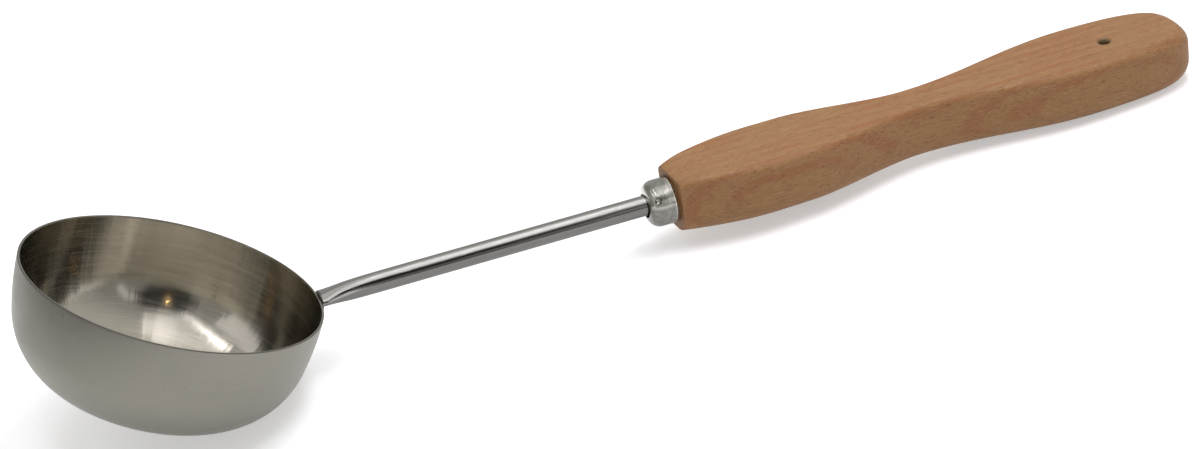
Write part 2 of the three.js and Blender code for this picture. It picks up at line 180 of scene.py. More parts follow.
class HandleSettings(bpy.types.PropertyGroup):
    """Sizes and finish of the beech handle, with distances from its front face."""

    length: length("Length", "Length of the wood behind the ferrule", 197.2)
    gap: length("Gap", "Clearance to ferrule and tang", 0.3)
    front_width: length("Front width", "Width at the front face", 18.2)
    front_flare: factor("Front flare", "Widening of each side along the front", 0.345)
    front_lobe_at: length("Front lobe at", "Place of the wide part near the front", 46.4)
    front_lobe_width: length("Front lobe width", "Width of the wide part near the front", 31.4)
    waist_at: length("Waist at", "Place of the waist", 91.0)
    waist_width: length("Waist width", "Width of the waist", 16.0)
    rear_lobe_from_end: length("Rear lobe from end", "Wide rear part's distance from the end", 40.5)
    rear_lobe_width: length("Rear lobe width", "Width of the wide rear part", 34.1)
    front_thickness: length("Front thickness", "Thickness at the front face", 21.8)
    rear_thickness: length("Rear thickness", "Thickness at the rear end", 20.9)
    upper_edge: length("Upper edge", "Radius of the long edges of the upper face", 2.8)
    lower_edge: length("Lower edge", "Radius of the long edges of the lower face", 7.2)
    upper_end_edge: length("Upper end edge", "Radius of the upper edge at the rear end", 6.1)
    lower_end_edge: length("Lower end edge", "Radius of the lower edge at the rear end", 9.0)
    front_edge: length("Front edge", "Radius of the sanded edge round the front face", 0.5)
    ease_length: length("Ease length", "Stretch over which the upper face falls to the front", 10.0)
    ease_drop: length("Ease drop", "How far the upper face has fallen at the front face", 1.4)
    front_skew: factor("Front skew", "Set-back of the front face for each length to the right", 0.061)
    tilt: angle("Tilt", "Angle by which the handle rises from the rod's line", 1.25)
    drop: length("Drop", "Middle of the handle below the rod's axis at the front face", 0.28)
    hole: length("Hole", "Diameter of the hanging hole", 3.7)
    hole_mouth: length("Hole mouth", "Diameter of the hole's rounded mouth", 6.2)
    hole_from_end: length("Hole from end", "Distance of the hanging hole from the rear end", 31.0)
    hole_offset: length("Hole offset", "Distance of the hole to the right of the middle", 1.5)
    light_wood: colour("Light wood", "Pale fibres of the beech", (0.313, 0.165, 0.066))
    dark_wood: colour("Dark wood", "Darker fibres of the beech", (0.26, 0.13, 0.05))
    red_wood: colour("Red wood", "Reddish patches of the beech", (0.296, 0.117, 0.0437))
    fleck: colour("Fleck", "Short dark flecks along the grain", (0.14, 0.052, 0.021))
    pale_fleck: colour("Pale fleck", "Short pale flecks along the grain", (0.4, 0.234, 0.1165))
    # Also darkens the hole's mouth, as dirt and painted shade
    worn_and_hole_shade: colour("Worn wood", "Darkened end grain and mouth of the hole", (0.13, 0.088, 0.04))


class StageSettings(bpy.types.PropertyGroup):
    """Floor and camera."""

    floor: colour("Floor", "Pale floor", (0.8, 0.8, 0.8))
    floor_size: length("Floor size", "Side of the floor", 60000.0)
    target: FloatVectorProperty(
        name="Target",
        description="Point in the middle of the picture",
        default=(-15.167 * MM, -5.27 * MM, 20.328 * MM),
        subtype="XYZ",
        unit="LENGTH",
    )
    distance: length("Distance", "Camera from the target", 984.276)
    azimuth: angle("Azimuth", "Turn of the camera round the object, zero looking along +Y", -14.873)
    elevation: angle("Elevation", "Camera above the horizon", 29.803)
    roll: angle("Roll", "Lean of the camera to its right", 11.484)
    lens: FloatProperty(name="Lens", description="Focal length in millimetres", default=87.9)
    sensor: FloatProperty(name="Sensor", description="Sensor's width in millimetres", default=36.0)


class LadleSettings(bpy.types.PropertyGroup):
    """All settings of the ladle and its stage."""

    bowl: PointerProperty(type=BowlSettings)
    stem: PointerProperty(type=StemSettings)
    weld: PointerProperty(type=WeldSettings)
    ferrule: PointerProperty(type=FerruleSettings)
    handle: PointerProperty(type=HandleSettings)
    stage: PointerProperty(type=StageSettings)


# Frames


def bowl_rim():
    """Middle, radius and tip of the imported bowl's rim, from the rim's two ends along the ladle."""
    points = [vertex.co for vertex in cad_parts["bowl"].data.vertices]
    far = max(points, key=lambda point: point.z)
    near = max(points, key=lambda point: point.x)
    across = near - far
    middle = (near + far) / 2
    middle.y = 0.0
    return middle, math.hypot(across.x, across.z) / 2, math.atan2(-across.z, across.x)


def bowl_frame():
    """Frame with the rim in the plane Z = 0 and the handle towards +X."""
    middle, _, tip = bowl_rim()
    return Matrix.Translation(middle) @ Matrix.Rotation(tip, 4, "Y")


def stem_frame(ladle):
    """Frame with the rod's axis along +X, from the rim's radius."""
    _, radius, _ = bowl_rim()
    start = Matrix.Translation((radius, 0.0, -ladle.stem.below_rim))
    return bowl_frame() @ start @ Matrix.Rotation(-ladle.stem.rise, 4, "Y")


def ferrule_frame(ladle):
    """Frame with the cup's axis along +X and its front at X = 0."""
    return stem_frame(ladle) @ Matrix.Translation((ladle.stem.length, 0.0, -ladle.ferrule.drop))


def front_face(ladle):
    """Distance of the handle's front face along the rod."""
    return ladle.stem.length + ladle.ferrule.length + ladle.handle.gap


def handle_frame(ladle):
    """Frame with the handle's middle line along +X and its front face at X = 0."""
    start = Matrix.Translation((front_face(ladle), 0.0, -ladle.handle.drop))
    return stem_frame(ladle) @ start @ Matrix.Rotation(-ladle.handle.tilt, 4, "Y")


# Shapes


def mix(start, end, share):
    """Value or vector between two others."""
    return start + (end - start) * share


def arc(centre, radius, start, end, steps):
    """Points along a circular arc."""
    angles = [mix(start, end, i / steps) for i in range(steps + 1)]
    return [Vector((math.cos(a), math.sin(a))) * radius + Vector(centre) for a in angles]


def full_turn(segments):
    """Even angles all round a circle."""
    return [2 * math.pi * i / segments for i in range(segments)]


def bezier(start, start_control, end_control, end, steps):
    """Points along a cubic curve, without its first one."""
    points = []
    for i in range(1, steps + 1):
        t = i / steps
        s = 1 - t
        points.append(
            start * s**3 + start_control * 3 * s * s * t + end_control * 3 * s * t * t + end * t**3
        )
    return points


def ring_faces(bm, rings):
    """Quads between neighbouring closed rings of as many vertices each."""
    for low, high in zip(rings, rings[1:]):
        count = len(low)
        for i in range(count):
            k = (i + 1) % count
            bm.faces.new((low[i], low[k], high[k], high[i]))


def turned(profile, segments):
    """Mesh of a profile of (radius, height) points turned round +Z, with a UV layer that runs round it.

    A profile that starts and ends on the axis makes a closed skin, and any other one a closed ring.
    """
    bm = bmesh.new()
    layer = bm.loops.layers.uv.new(ROUND_UV)
    on_axis = profile[0].x == 0.0 and profile[-1].x == 0.0
    turns = full_turn(segments)
    rings = []
    for radius, height in profile[1:-1] if on_axis else profile:
        rings.append([bm.verts.new((radius * math.cos(a), radius * math.sin(a), height)) for a in turns])
    ring_faces(bm, rings if on_axis else [*rings, rings[0]])
    if on_axis:
        first = bm.verts.new((0.0, 0.0, profile[0].y))
        last = bm.verts.new((0.0, 0.0, profile[-1].y))
        for i in range(segments):
            k = (i + 1) % segments
            bm.faces.new((first, rings[0][k], rings[0][i]))
            bm.faces.new((last, rings[-1][i], rings[-1][k]))
    for face in bm.faces:
        middle = face.calc_center_median()
        turn = math.atan2(middle.y, middle.x)
        for loop in face.loops:
            x, y, z = loop.vert.co
            own = math.atan2(y, x) if x or y else turn
            # The seam's far corners take the turn next to their face.
            own += 2 * math.pi * round((turn - own) / (2 * math.pi))
            loop[layer].uv = (own / (2 * math.pi), (math.hypot(x, y) + z) / MM)
    return bm


def lay_along_x(bm):
    """Turns a mesh from the Z axis onto the X axis."""
    bm.transform(Matrix.Rotation(math.pi / 2, 4, "Y"))


def mesh_of(name, bm):
    """Smooth mesh data from a bmesh, with outward faces, which it frees."""
    bmesh.ops.recalc_face_normals(bm, faces=bm.faces)
    mesh = bpy.data.meshes.new(name)
    bm.to_mesh(mesh)
    bm.free()
    mesh.shade_smooth()
    return mesh


def object_of(name, data):
    """Object that puts a mesh, a light or a camera in the scene."""
    item = bpy.data.objects.new(name, data)
    bpy.context.scene.collection.objects.link(item)
    return item


def place_piece(name, mesh, place, node, materials):
    """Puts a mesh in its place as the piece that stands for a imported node, with its finishes."""
    mesh.set_sharp_from_angle(angle=SHARP_ANGLE)
    attribute = mesh.attributes.new(OWN_PLACE, "FLOAT_VECTOR", "POINT")
    for vertex, stored in zip(mesh.vertices, attribute.data):
        stored.vector = vertex.co / MM
    mesh.transform(place)
    for material in materials:
        mesh.materials.append(material)
    piece = object_of(name, mesh)
    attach(piece, BODY)
    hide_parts(node)


def combined(mesh, other, operation):
    """Mesh joined with or cut by another one, which is used up."""
    base = object_of("shape", mesh)
    tool = object_of("tool", other)
    modifier = base.modifiers.new("combine", "BOOLEAN")
    modifier.operation = operation
    modifier.solver = "EXACT"
    modifier.object = tool
    graph = bpy.context.evaluated_depsgraph_get()
    result = bpy.data.meshes.new_from_object(base.evaluated_get(graph))
    for used in (base, tool):
        data = used.data
        bpy.data.objects.remove(used)
        bpy.data.meshes.remove(data)
    if not result.polygons:
        raise RuntimeError(f"nothing is left of a piece after {operation}")
    return result


# Finishes

ORIGIN = (0.0, 0.0, 0.0)
EVEN = (1.0, 1.0, 1.0)
# Share, first colour and second colour among a Mix node's inputs, and the colour among its outputs
MIX_INPUTS = (0, 6, 7)
MIX_OUTPUT = 2
# Colours of rubbed marks on the bowl, of pits in the cup and the painted shade above its dent, and of
# the painted gap shadow beside the cup
RUBBED = (0.12, 0.11, 0.1)
PIT_AND_DENT_SHADE = (0.06, 0.055, 0.048)
GAP_SHADOW = (0.03, 0.022, 0.014)
# Distance from one growth ring to the next, in millimetres
RING_SPACING = 4.4
# Middle of the dent from the cup's axis, as a share of its diameter
DENT_REACH = 0.48


class Nodes:
    """The emptied node tree of a material or world, with short ways to add and join nodes."""

    def __init__(self, owner):
        owner.use_nodes = True
        self.tree = owner.node_tree
        self.tree.nodes.clear()

    def add(self, kind, inputs=None, **settings):
        """New node with its settings, and its inputs set or joined."""
        node = self.tree.nodes.new(kind)
        for key, value in settings.items():
            setattr(node, key, value)
        for key, value in (inputs or {}).items():
            if isinstance(value, bpy.types.NodeSocket):
                self.tree.links.new(value, node.inputs[key])
            else:
                node.inputs[key].default_value = value
        return node

    def math(self, operation, first, second=0.0):
        """Number from one or two others."""
        return self.add("ShaderNodeMath", {0: first, 1: second}, operation=operation).outputs[0]

    def vector_math(self, operation, first, second=ORIGIN, output="Vector"):
        """Vector, or another named output, from one or two vectors."""
        node = self.add("ShaderNodeVectorMath", {0: first, 1: second}, operation=operation)
        return node.outputs[output]

    def measure(self, operation, first, second=ORIGIN):
        """Number from one or two vectors, such as a length or a distance."""
        return self.vector_math(operation, first, second, "Value")

    def vector(self, x, y, z=0.0):
        """Vector from its parts."""
        return self.add("ShaderNodeCombineXYZ", {"X": x, "Y": y, "Z": z}).outputs[0]

    def parts(self, vector):
        """X, Y and Z of a vector."""
        outputs = self.add("ShaderNodeSeparateXYZ", {0: vector}).outputs
        return outputs["X"], outputs["Y"], outputs["Z"]

    def ranged(self, value, low, high, out_low=0.0, out_high=1.0):
        """Value eased from one range into another and held at its ends."""
        inputs = {
            "Value": value,
            "From Min": low,
            "From Max": high,
            "To Min": out_low,
            "To Max": out_high,
        }
        node = self.add("ShaderNodeMapRange", inputs, interpolation_type="SMOOTHSTEP", clamp=True)
        return node.outputs["Result"]

    def blend(self, share, first, second, kind="MIX"):
        """Colour between two others, each of them joined or given as red, green and blue."""
        ends = [end if isinstance(end, bpy.types.NodeSocket) else (*end, 1.0) for end in (first, second)]
        inputs = dict(zip(MIX_INPUTS, (share, *ends)))
        node = self.add("ShaderNodeMix", inputs, data_type="RGBA", blend_type=kind, clamp_factor=True)
        return node.outputs[MIX_OUTPUT]

    def toned(self, base, value, low, high):
        """Colour brightened or darkened by a value between 0 and 1."""
        gain = self.ranged(value, 0.0, 1.0, low, high)
        grey = self.add("ShaderNodeCombineColor", {0: gain, 1: gain, 2: gain}).outputs[0]
        return self.blend(1.0, base, grey, "MULTIPLY")

    def bump(self, height, distance, normal=None, strength=1.0):
        """Normal from a height, whose full range stands for a distance."""
        inputs = {"Height": height, "Distance": distance, "Strength": strength}
        if normal:
            inputs["Normal"] = normal
        return self.add("ShaderNodeBump", inputs).outputs["Normal"]


class Finish(Nodes):
    """A material under construction, laid out in its piece's own frame in millimetres."""

    def __init__(self, name):
        self.material = bpy.data.materials.new(name)
        super().__init__(self.material)
        self.own = self.add("ShaderNodeAttribute", attribute_name=OWN_PLACE).outputs["Vector"]

    def noise(self, scale=1.0, detail=2.0, roughness=0.5, distortion=0.0, pace=EVEN):
        """Noise between 0 and 1, finer with a larger scale and along an axis with a larger pace."""
        inputs = {
            "Vector": self.vector_math("MULTIPLY", self.own, pace),
            "Scale": scale,
            "Detail": detail,
            "Roughness": roughness,
            "Distortion": distortion,
        }
        return self.add("ShaderNodeTexNoise", inputs).outputs["Fac"]

    def end(self, shader):
        """Ends the material with a shader."""
        self.add("ShaderNodeOutputMaterial", {"Surface": shader.outputs[0]})
        return self.material

    def shade(self, **inputs):
        """Ends the material with a Principled shader."""
        named = {key.replace("_", " "): value for key, value in inputs.items()}
        return self.end(self.add("ShaderNodeBsdfPrincipled", named))

    def metal(self, tint, rough, normal, **inputs):
        """Ends the material as bare metal."""
        return self.shade(Base_Color=tint, Metallic=1.0, Roughness=rough, Normal=normal, **inputs)


def round_lines(finish, per_mm, wander):
    """Noise that runs in fine lines round the bowl's axis."""
    x, y, z = finish.parts(finish.own)
    flat = finish.vector(x, y)
    turn_x, turn_y, _ = finish.parts(finish.vector_math("NORMALIZE", flat))
    place = finish.vector(turn_x, turn_y, finish.measure("LENGTH", flat))
    inputs = {
        "Vector": finish.vector_math("MULTIPLY", place, (wander, wander, per_mm)),
        "W": finish.math("MULTIPLY", z, per_mm),
        "Scale": 1.0,
        "Detail": 3.0,
    }
    return finish.add("ShaderNodeTexNoise", inputs, noise_dimensions="4D").outputs["Fac"]


def dark_rim(finish, tint):
    """Colour darkened along the cut edge of the rim."""
    _, _, height = finish.parts(finish.own)
    return finish.toned(tint, finish.ranged(height, -0.3, -0.06), 1.0, 0.42)


def satin_steel(base):
    """Even satin steel of the bowl's outside, with faint drawing lines, clouds and rubbed marks."""
    finish = Finish("satin_steel")
    lines = round_lines(finish, per_mm=1.6, wander=3.0)
    clouds = finish.noise(0.045, detail=3.0, roughness=0.55)
    marks = finish.noise(0.33, roughness=0.6, distortion=0.6, pace=(1.0, 1.0, 0.45))
    tint = finish.toned(base, clouds, 0.88, 1.1)
    tint = finish.toned(tint, lines, 0.93, 1.07)
    tint = finish.blend(finish.ranged(marks, 0.7, 0.77, 0.0, 0.4), tint, RUBBED)
    tint = dark_rim(finish, tint)
    rough = finish.ranged(clouds, 0.3, 0.7, 0.37, 0.46)
    rough = finish.math("ADD", rough, finish.ranged(lines, 0.3, 0.7, -0.03, 0.03))
    return finish.metal(tint, rough, finish.bump(lines, 0.004 * MM))


def brushed_steel(base):
    """Steel of the bowl's inside, brushed round its axis, which stretches what it reflects."""
    finish = Finish("brushed_steel")
    fine = round_lines(finish, per_mm=3.2, wander=4.0)
    broad = round_lines(finish, per_mm=0.55, wander=1.5)
    rays = round_lines(finish, per_mm=0.0, wander=9.0)
    clouds = finish.noise(0.06)
    tint = finish.toned(base, fine, 0.9, 1.1)
    tint = finish.toned(tint, broad, 0.93, 1.07)
    tint = finish.toned(tint, clouds, 0.94, 1.06)
    tint = dark_rim(finish, tint)
    rough = finish.ranged(broad, 0.3, 0.7, 0.15, 0.19)
    rough = finish.math("ADD", rough, finish.ranged(fine, 0.3, 0.7, -0.03, 0.03))
    tangent = finish.add("ShaderNodeTangent", direction_type="UV_MAP", uv_map=ROUND_UV).outputs[0]
    normal = finish.bump(fine, 0.006 * MM)
    normal = finish.bump(rays, 0.15 * MM, normal)
    return finish.metal(
        tint, rough, normal, Tangent=tangent, Anisotropic=0.76, Anisotropic_Rotation=0.25
    )


def polished_steel(stem):
    """Polished rod with lengthwise lines and longer scuffs, with painted shade along its underside and
    its left.
    """
    finish = Finish("polished_steel")
    x, left, height = finish.parts(finish.own)
    lines = finish.noise(detail=3.0, roughness=0.6, pace=(0.05, 4.0, 4.0))
    scuffs = finish.noise(detail=3.0, roughness=0.6, distortion=0.4, pace=(0.25, 1.3, 1.3))
    # The pressed end is thinner, so its lit side, and the painted shade below it, start lower.
    upper = finish.math("ADD", height, finish.ranged(x, 4.0, 22.0, 1.1, 0.0))
    upper = finish.ranged(upper, 0.8, 2.4)
    # Painted light: the upper right of the rod keeps the steel colour, the underside and the left take
    # painted shade
    bright = finish.math("MULTIPLY", upper, finish.ranged(left, -1.3, -0.2, 1.0, 0.3))
    tint = finish.blend(bright, stem.painted_shade_steel, stem.steel)
    tint = finish.toned(tint, lines, 0.82, 1.18)
    tint = finish.toned(tint, scuffs, 0.9, 1.1)
    rough = finish.ranged(lines, 0.3, 0.7, 0.1, 0.16)
    rough = finish.math("ADD", rough, finish.ranged(scuffs, 0.58, 0.72, 0.0, 0.1))
    return finish.metal(tint, rough, finish.bump(lines, 0.006 * MM))


def weld_metal(base):
    """Dull, slightly pitted weld metal."""
    finish = Finish("weld_metal")
    grain = finish.noise(1.6, detail=4.0, roughness=0.6)
    tint = finish.toned(base, grain, 0.6, 1.35)
    rough = finish.ranged(grain, 0.3, 0.7, 0.42, 0.6)
    return finish.metal(tint, rough, finish.bump(grain, 0.12 * MM))


def scuffed_metal(cup):
    """Half polished cup metal, scuffed and pitted, with one dent and painted shade above it, brighter
    along its rear edge, with a painted highlight band high on its sides and painted shade below it and
    on its top.
    """
    finish = Finish("scuffed_metal")
    x, _, height = finish.parts(finish.own)
    mottle = finish.noise(0.24, detail=3.0, roughness=0.55, distortion=0.5)
    scuffs = finish.noise(detail=4.0, roughness=0.65, distortion=0.4, pace=(1.6, 0.5, 0.5))
    pits = finish.noise(1.5, detail=3.0, roughness=0.55)
    toward = Vector((0.0, -math.cos(cup.dent_turn), math.sin(cup.dent_turn)))
    dent = (toward * cup.diameter * DENT_REACH + Vector((cup.dent_at, 0.0, 0.0))) / MM
    hollow = finish.ranged(finish.measure("DISTANCE", finish.own, dent), 0.0, 1.1)
    # Painted shade: a dark spot just above the dent stands for the shade in its hollow.
    spot = dent + Vector((0.0, 0.0, 1.0))
    painted_dent_shade = finish.ranged(finish.measure("DISTANCE", finish.own, spot), 0.35, 0.9, 0.8, 0.0)
    rear = cup.length / MM
    tint = finish.toned(cup.metal, finish.ranged(mottle, 0.3, 0.7), 0.8, 1.2)
    tint = finish.toned(tint, scuffs, 0.84, 1.16)
    tint = finish.toned(tint, finish.ranged(x, rear - 0.8, rear - 0.4), 1.0, 1.5)
    # Painted light: darker low on the cup, a painted highlight band from about 4 to 5 mm above the axis,
    # and painted shade on the top
    tint = finish.toned(tint, finish.ranged(height, 0.2, 4.2), 0.6, 1.85)
    tint = finish.toned(tint, finish.ranged(height, 5.4, 7.6), 1.0, 0.55)
    tint = finish.blend(finish.ranged(pits, 0.66, 0.72, 0.0, 0.6), tint, PIT_AND_DENT_SHADE)
    tint = finish.blend(painted_dent_shade, tint, PIT_AND_DENT_SHADE)
    rough = finish.ranged(scuffs, 0.3, 0.7, 0.13, 0.24)
    normal = finish.bump(mottle, 0.1 * MM)
    normal = finish.bump(pits, 0.006 * MM, normal)
    normal = finish.bump(hollow, 0.3 * MM, normal)
    return finish.metal(tint, rough, normal)


def growth_rings(finish):
    """Faint rings, from 0 to 1, round a heart that lies beside the handle and sways along it."""
    _, y, z = finish.parts(finish.own)
    sway = finish.noise(detail=3.0, roughness=0.6, pace=(0.014, 0.05, 0.05))
    beside = finish.math("ADD", y, finish.ranged(sway, 0.2, 0.8, 26.6, 29.4))
    above = finish.math("ADD", z, 1.0)
    from_heart = finish.measure("LENGTH", finish.vector(beside, above))
    wave = finish.math("SINE", finish.math("MULTIPLY", from_heart, 2 * math.pi / RING_SPACING))
    return finish.ranged(wave, -0.4, 1.0)


def used_wood(finish, tint, wood, cup):
    """Colour of the wood with darker end grain, a painted gap shadow beside the cup, and the hole's
    mouth darkened by dirt and painted shade.
    """
    x, y, z = finish.parts(finish.own)
    tint = finish.blend(finish.ranged(x, 0.2, 0.8, 0.15, 0.0), tint, wood.worn_and_hole_shade)
    cup_radius = cup.diameter / 2 / MM
    from_axis = finish.measure("LENGTH", finish.vector(y, z))
    # Painted shadow: a thin dark ring round the cup at the front face, where the gap shades the wood
    painted_gap_shadow = finish.ranged(from_axis, cup_radius + 0.1, cup_radius + 0.9, 0.85, 0.0)
    at_front = finish.ranged(x, 0.2, 0.6, 1.0, 0.0)
    tint = finish.blend(finish.math("MULTIPLY", painted_gap_shadow, at_front), tint, GAP_SHADOW)
    # Dirt and painted shade: the wood darkens in the hole's mouth, where little light reaches
    hole = Vector((wood.length - wood.hole_from_end, -wood.hole_offset, 0.0)) / MM
    from_hole = finish.measure("DISTANCE", finish.vector(x, y), hole)
    mouth = wood.hole_mouth / 2 / MM
    return finish.blend(finish.ranged(from_hole, 0.62 * mouth, mouth, 0.85, 0.0), tint, wood.worn_and_hole_shade)


def sanded_beech(wood, cup):
    """Bare beech: faint growth rings, fibres and short flecks along the grain, with reddish patches."""
    finish = Finish("sanded_beech")
    rings = growth_rings(finish)
    fibres = finish.noise(detail=4.0, roughness=0.65, pace=(0.07, 2.4, 2.4))
    patches = finish.noise(detail=3.0, roughness=0.55, distortion=0.4, pace=(0.022, 0.07, 0.07))
    grain = finish.noise(1.7, detail=3.0, roughness=0.7)
    flecks = finish.noise(roughness=0.6, pace=(0.36, 2.3, 2.3))
    pale_flecks = finish.noise(pace=(0.28, 1.9, 1.9))
    tint = finish.blend(finish.ranged(fibres, 0.3, 0.7), wood.light_wood, wood.dark_wood)
    red_rings = finish.ranged(rings, 0.0, 1.0, 0.1, 0.75)
    reddened = finish.math("MULTIPLY", finish.ranged(patches, 0.44, 0.62), red_rings)
    tint = finish.blend(reddened, tint, wood.red_wood)
    tint = finish.toned(tint, rings, 1.02, 0.955)
    tint = finish.toned(tint, grain, 0.84, 1.16)
    tint = finish.blend(finish.ranged(pale_flecks, 0.55, 0.7, 0.0, 0.36), tint, wood.pale_fleck)
    tint = finish.blend(finish.ranged(flecks, 0.57, 0.68, 0.0, 0.62), tint, wood.fleck)
    tint = used_wood(finish, tint, wood, cup)
    rough = finish.ranged(fibres, 0.25, 0.75, 0.5, 0.66)
    normal = finish.bump(fibres, 0.02 * MM)
    normal = finish.bump(flecks, 0.03 * MM, normal, strength=0.6)
    return finish.shade(Base_Color=tint, Roughness=rough, Specular_IOR_Level=0.35, Normal=normal)


# Bowl


def bowl_arcs(bowl, rim_radius, inset):
    """Profile from the base's middle to the rim, moved inwards: base, knuckle and wall arcs."""
    wall_centre = Vector((rim_radius - bowl.wall_arc, 0.0))
    base_centre = Vector((0.0, bowl.base_arc - bowl.depth))
    to_wall = bowl.wall_arc - bowl.knuckle_arc
    to_base = bowl.base_arc - bowl.knuckle_arc
    span = base_centre - wall_centre
    along = (to_wall**2 - to_base**2 + span.length_squared) / (2 * span.length)
    across = math.sqrt(to_wall**2 - along**2)
    unit = span.normalized()
    knuckle_centre = wall_centre + unit * along + Vector((unit.y, -unit.x)) * across
    to_knuckle = knuckle_centre - wall_centre
    wall_angle = math.atan2(to_knuckle.y, to_knuckle.x)
    to_knuckle = knuckle_centre - base_centre
    base_angle = math.atan2(to_knuckle.y, to_knuckle.x)
    # The wall stops short of the rim by the radius of the broken edge.
    rim_angle = -math.asin(bowl.rim_edge / (bowl.wall_arc - inset))
    base = arc(base_centre, bowl.base_arc - inset, -math.pi / 2, base_angle, ARC_STEPS)
    knuckle = arc(knuckle_centre, bowl.knuckle_arc - inset, base_angle, wall_angle, 2 * ARC_STEPS)
    wall = arc(wall_centre, bowl.wall_arc - inset, wall_angle, rim_angle, ARC_STEPS)
    base[0].x = 0.0
    return base + knuckle[1:] + wall[1:]


class LADLE_OT_bowl(bpy.types.Operator):
    """Make the drawn steel bowl with its broken rim edge, satin outside and brushed inside"""

    bl_idname = "ladle.bowl"
    bl_label = "Bowl"

    def execute(self, context):
        bowl = context.scene.ladle.bowl
        _, radius, _ = bowl_rim()
        outer = bowl_arcs(bowl, radius, 0.0)
        inner = bowl_arcs(bowl, radius, bowl.sheet)
        edge = bowl.rim_edge
        outer_edge = arc((radius - edge, -edge), edge, 0.0, math.pi / 2, SMALL_ARC_STEPS)
        inner_radius = radius - bowl.sheet
        inner_edge = arc((inner_radius + edge, -edge), edge, math.pi / 2, math.pi, SMALL_ARC_STEPS)
        profile = [*outer[:-1], *outer_edge, *inner_edge, *reversed(inner[:-1])]
        mesh = mesh_of("bowl_skin", turned(profile, BOWL_SEGMENTS))
        for face in mesh.polygons:
            outward = Vector((face.center.x, face.center.y, 0.0)).normalized()
            on_wall = face.center.z > -bowl.depth / 2
            outside = face.normal.dot(outward) > 0.0 if on_wall else face.normal.z < 0.0
            face.material_index = 0 if outside else 1
        finishes = [satin_steel(bowl.outside), brushed_steel(bowl.inside)]
        place_piece("bowl_skin", mesh, bowl_frame(), "bowl", finishes)
        return {"FINISHED"}


# Stem and weld

# First section of the rod behind its end, as a share of the tongue's land
LAND_START = 0.35
# Share of the pressing from which the tongue is fully square
SQUARE_FROM = 1 / 3
# Depth of a ripple and loss at the weld's ends, as shares of its leg
RIPPLE_DEPTH = 0.1
WELD_END_LOSS = 0.75
# How far the weld's curve handles reach towards the middle of its face
WELD_REACH = 0.67


def tongue_section(stem, x, turns):
    """Points (y, z) round the rod at a distance from the bowl, pressed into a crowned flat near it."""
    radius = stem.diameter / 2
    past_land = max(x - stem.tongue_land, 0.0)
    pressed = max(1 - past_land / stem.tongue_runout, 0.0) ** stem.press_power
    spread = max(1 - past_land / stem.tongue_flare, 0.0) ** 2
    half_thickness = mix(radius, stem.tongue_thickness / 2, pressed)
    half_width = mix(radius, stem.tongue_width / 2, spread)
    power = 2 / mix(2.0, stem.squareness, min(pressed / SQUARE_FROM, 1.0))
    points = []
    for turn in turns:
        across = math.copysign(abs(math.cos(turn)) ** power, math.cos(turn))
        height = math.copysign(abs(math.sin(turn)) ** power, math.sin(turn))
        points.append((half_width * across, half_thickness * height - stem.tongue_drop * pressed))
    return points


class LADLE_OT_stem(bpy.types.Operator):
    """Make the rod, with its bowl end pressed into a tongue that follows the bowl's wall"""

    bl_idname = "ladle.stem"
    bl_label = "Stem"

    def execute(self, context):
        ladle = context.scene.ladle
        stem = ladle.stem
        _, rim_radius, _ = bowl_rim()
        turns = full_turn(ROUND_SEGMENTS)
        land = stem.tongue_land
        runout = land + stem.tongue_runout
        end = front_face(ladle) + stem.tang
        stations = [mix(LAND_START * land, land, i / LAND_STEPS) for i in range(LAND_STEPS)]
        stations += [mix(land, runout, i / RUNOUT_STEPS) for i in range(RUNOUT_STEPS + 1)]
        stations += [mix(runout, end, i / ROD_STEPS) for i in range(1, ROD_STEPS + 1)]
        bm = bmesh.new()
        rod = [[bm.verts.new((x, y, z)) for y, z in tongue_section(stem, x, turns)] for x in stations]

        def end_ring(inset, clear):
            """Ring at the bowl's wall, drawn in by a share and clear of the wall by a length."""
            wall = rim_radius + ladle.handle.gap + clear
            ring = []
            for y, z in tongue_section(stem, 0.0, turns):
                reach = math.sqrt(wall**2 - (y * inset) ** 2) - rim_radius
                x = (reach + z * inset * math.sin(stem.rise)) / math.cos(stem.rise)
                ring.append(bm.verts.new((x, y * inset, z * inset)))
            return ring

        # The end face is drawn in a little round its edge.
        rim = end_ring(1.0, stem.tongue_edge)
        face = end_ring(1 - stem.tongue_edge / (stem.tongue_thickness / 2), 0.0)
        ring_faces(bm, [face, rim, *rod])
        bm.faces.new(reversed(face))
        bm.faces.new(rod[-1])
        mesh = mesh_of("stem_rod", bm)
        place_piece("stem_rod", mesh, stem_frame(ladle), "stem", [polished_steel(stem)])
        return {"FINISHED"}


